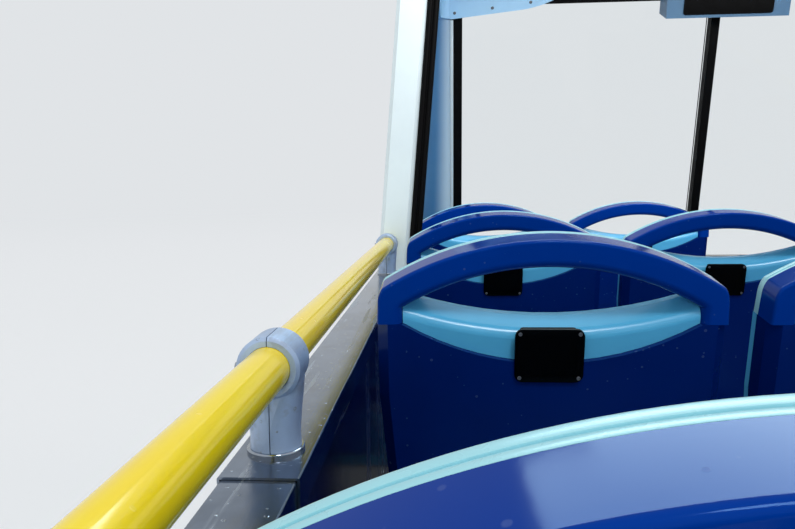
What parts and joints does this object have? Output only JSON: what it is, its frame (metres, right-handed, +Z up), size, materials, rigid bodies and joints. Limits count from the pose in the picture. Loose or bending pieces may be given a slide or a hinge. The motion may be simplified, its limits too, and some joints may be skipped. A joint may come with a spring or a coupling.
{
  "type": "upper deck front section of an open top double decker bus",
  "caption": "Open upper deck front section: floor, walls with capping and handrails on brackets, rows of arched seats, windscreen and short front roof.",
  "frame": {"origin": "centre of the section's footprint, level with the underside of the side members", "axes": "+Y is the direction of travel, +X the right-hand side, +Z up"},
  "size_m": [2.49, 3.865, 2.005],
  "materials": {
    "body_white": "gloss",
    "frame_grey": "satin",
    "floor_vinyl": "matte",
    "lining_navy": "gloss",
    "lining_blue": "satin",
    "steel_capping": "polished",
    "rail_yellow": "gloss",
    "bracket_alloy": "satin",
    "ring_chrome": "polished",
    "gasket_black": "matte",
    "glass_clear": "clear",
    "screen_black": "gloss",
    "seat_blue": "gloss",
    "seat_light_blue": "satin",
    "rim_blue": "satin",
    "seat_cloth": "woven",
    "seat_frame_grey": "satin"
  },
  "bodies": {
    "root": {"bracket_inner_halves_left": "bracket_alloy", "bracket_inner_halves_right": "bracket_alloy", "bracket_outer_halves_left": "bracket_alloy", "bracket_outer_halves_right": "bracket_alloy", "bracket_rings": "ring_chrome", "cantrails": "lining_blue", "capping_front_left": "steel_capping", "capping_front_right": "steel_capping", "capping_rear_left": "steel_capping", "capping_rear_right": "steel_capping", "corner_linings": "lining_blue", "corner_pillar_left": "body_white", "corner_pillar_right": "body_white", "cross_members": "frame_grey", "display_housing": "lining_blue", "display_screen": "screen_black", "floor_panel": "floor_vinyl", "front_lining": "lining_navy", "front_panel": "body_white", "handrail_left": "rail_yellow", "handrail_right": "rail_yellow", "header_lining": "lining_blue", "rear_pillar_left": "body_white", "rear_pillar_right": "body_white", "rear_pillar_seals": "gasket_black", "roof_panel": "body_white", "seat_backs": "seat_light_blue", "seat_covers": "seat_blue", "seat_cushions": "seat_cloth", "seat_frames": "seat_frame_grey", "seat_handles": "seat_blue", "seat_pads": "seat_cloth", "seat_pans": "seat_light_blue", "seat_rims": "rim_blue", "side_lining_left": "lining_navy", "side_lining_right": "lining_navy", "side_members": "frame_grey", "side_surrounds": "lining_blue", "side_wall_left": "body_white", "side_wall_right": "body_white", "side_window_frame_left": "gasket_black", "side_window_frame_right": "gasket_black", "side_window_glass_left": "glass_clear", "side_window_glass_right": "glass_clear", "windscreen_frame": "gasket_black", "windscreen_glass_left": "glass_clear", "windscreen_glass_right": "glass_clear"}
  },
  "joints": []
}
